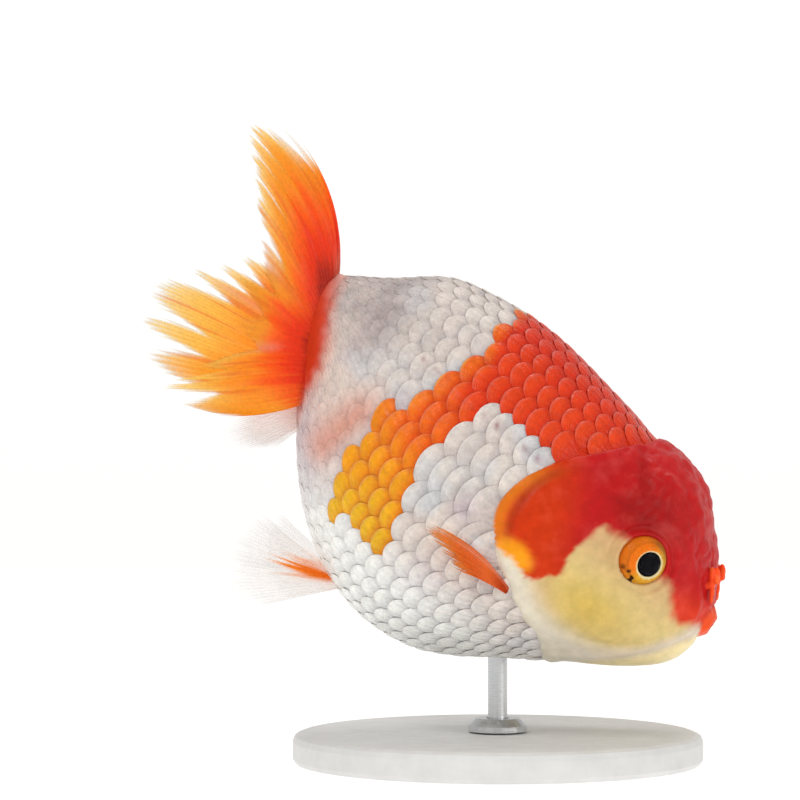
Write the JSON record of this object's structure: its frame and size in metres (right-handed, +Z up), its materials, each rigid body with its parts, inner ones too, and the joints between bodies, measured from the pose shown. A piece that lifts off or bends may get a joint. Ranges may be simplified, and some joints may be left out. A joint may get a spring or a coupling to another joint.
{
  "type": "goldfish model on a stand",
  "caption": "Life-size still model of a round, hooded, double-tailed goldfish without a back fin, red-orange and white, tipped nose down on a rod above a round flat base.",
  "frame": {"origin": "centre of the stand's underside, below the fish's balance point", "axes": "+Z up, +X the way the fish faces, +Y to the fish's left; the fish is tipped 37.5 degrees nose down about Y"},
  "size_m": [0.1299, 0.084, 0.1331],
  "materials": {
    "skin_white": "satin",
    "skin_red": "satin",
    "skin_cream": "satin",
    "fin_orange": "satin",
    "fin_pale": "satin",
    "eye": "gloss",
    "stand_base": "matte",
    "stand_steel": "satin"
  },
  "bodies": {
    "root": {"trunk": "skin_white", "tail_base": "skin_white", "head": "skin_cream", "hood": "skin_red", "lower_jaw": "skin_cream", "gill_cover_left": "skin_red", "gill_cover_right": "skin_red", "eye_left": "eye", "eye_right": "eye", "nose_flap_left": "fin_orange", "nose_flap_right": "fin_orange", "pectoral_fin_left": "fin_orange", "pectoral_fin_right": "fin_orange", "pelvic_fin_left": "fin_pale", "pelvic_fin_right": "fin_pale", "anal_fin_left": "fin_pale", "anal_fin_right": "fin_pale", "tail_upper_left": "fin_orange", "tail_upper_right": "fin_orange", "tail_lower_left": "fin_orange", "tail_lower_right": "fin_orange", "stand_base": "stand_base", "stand_collar": "stand_steel", "stand_rod": "stand_steel"}
  },
  "joints": []
}
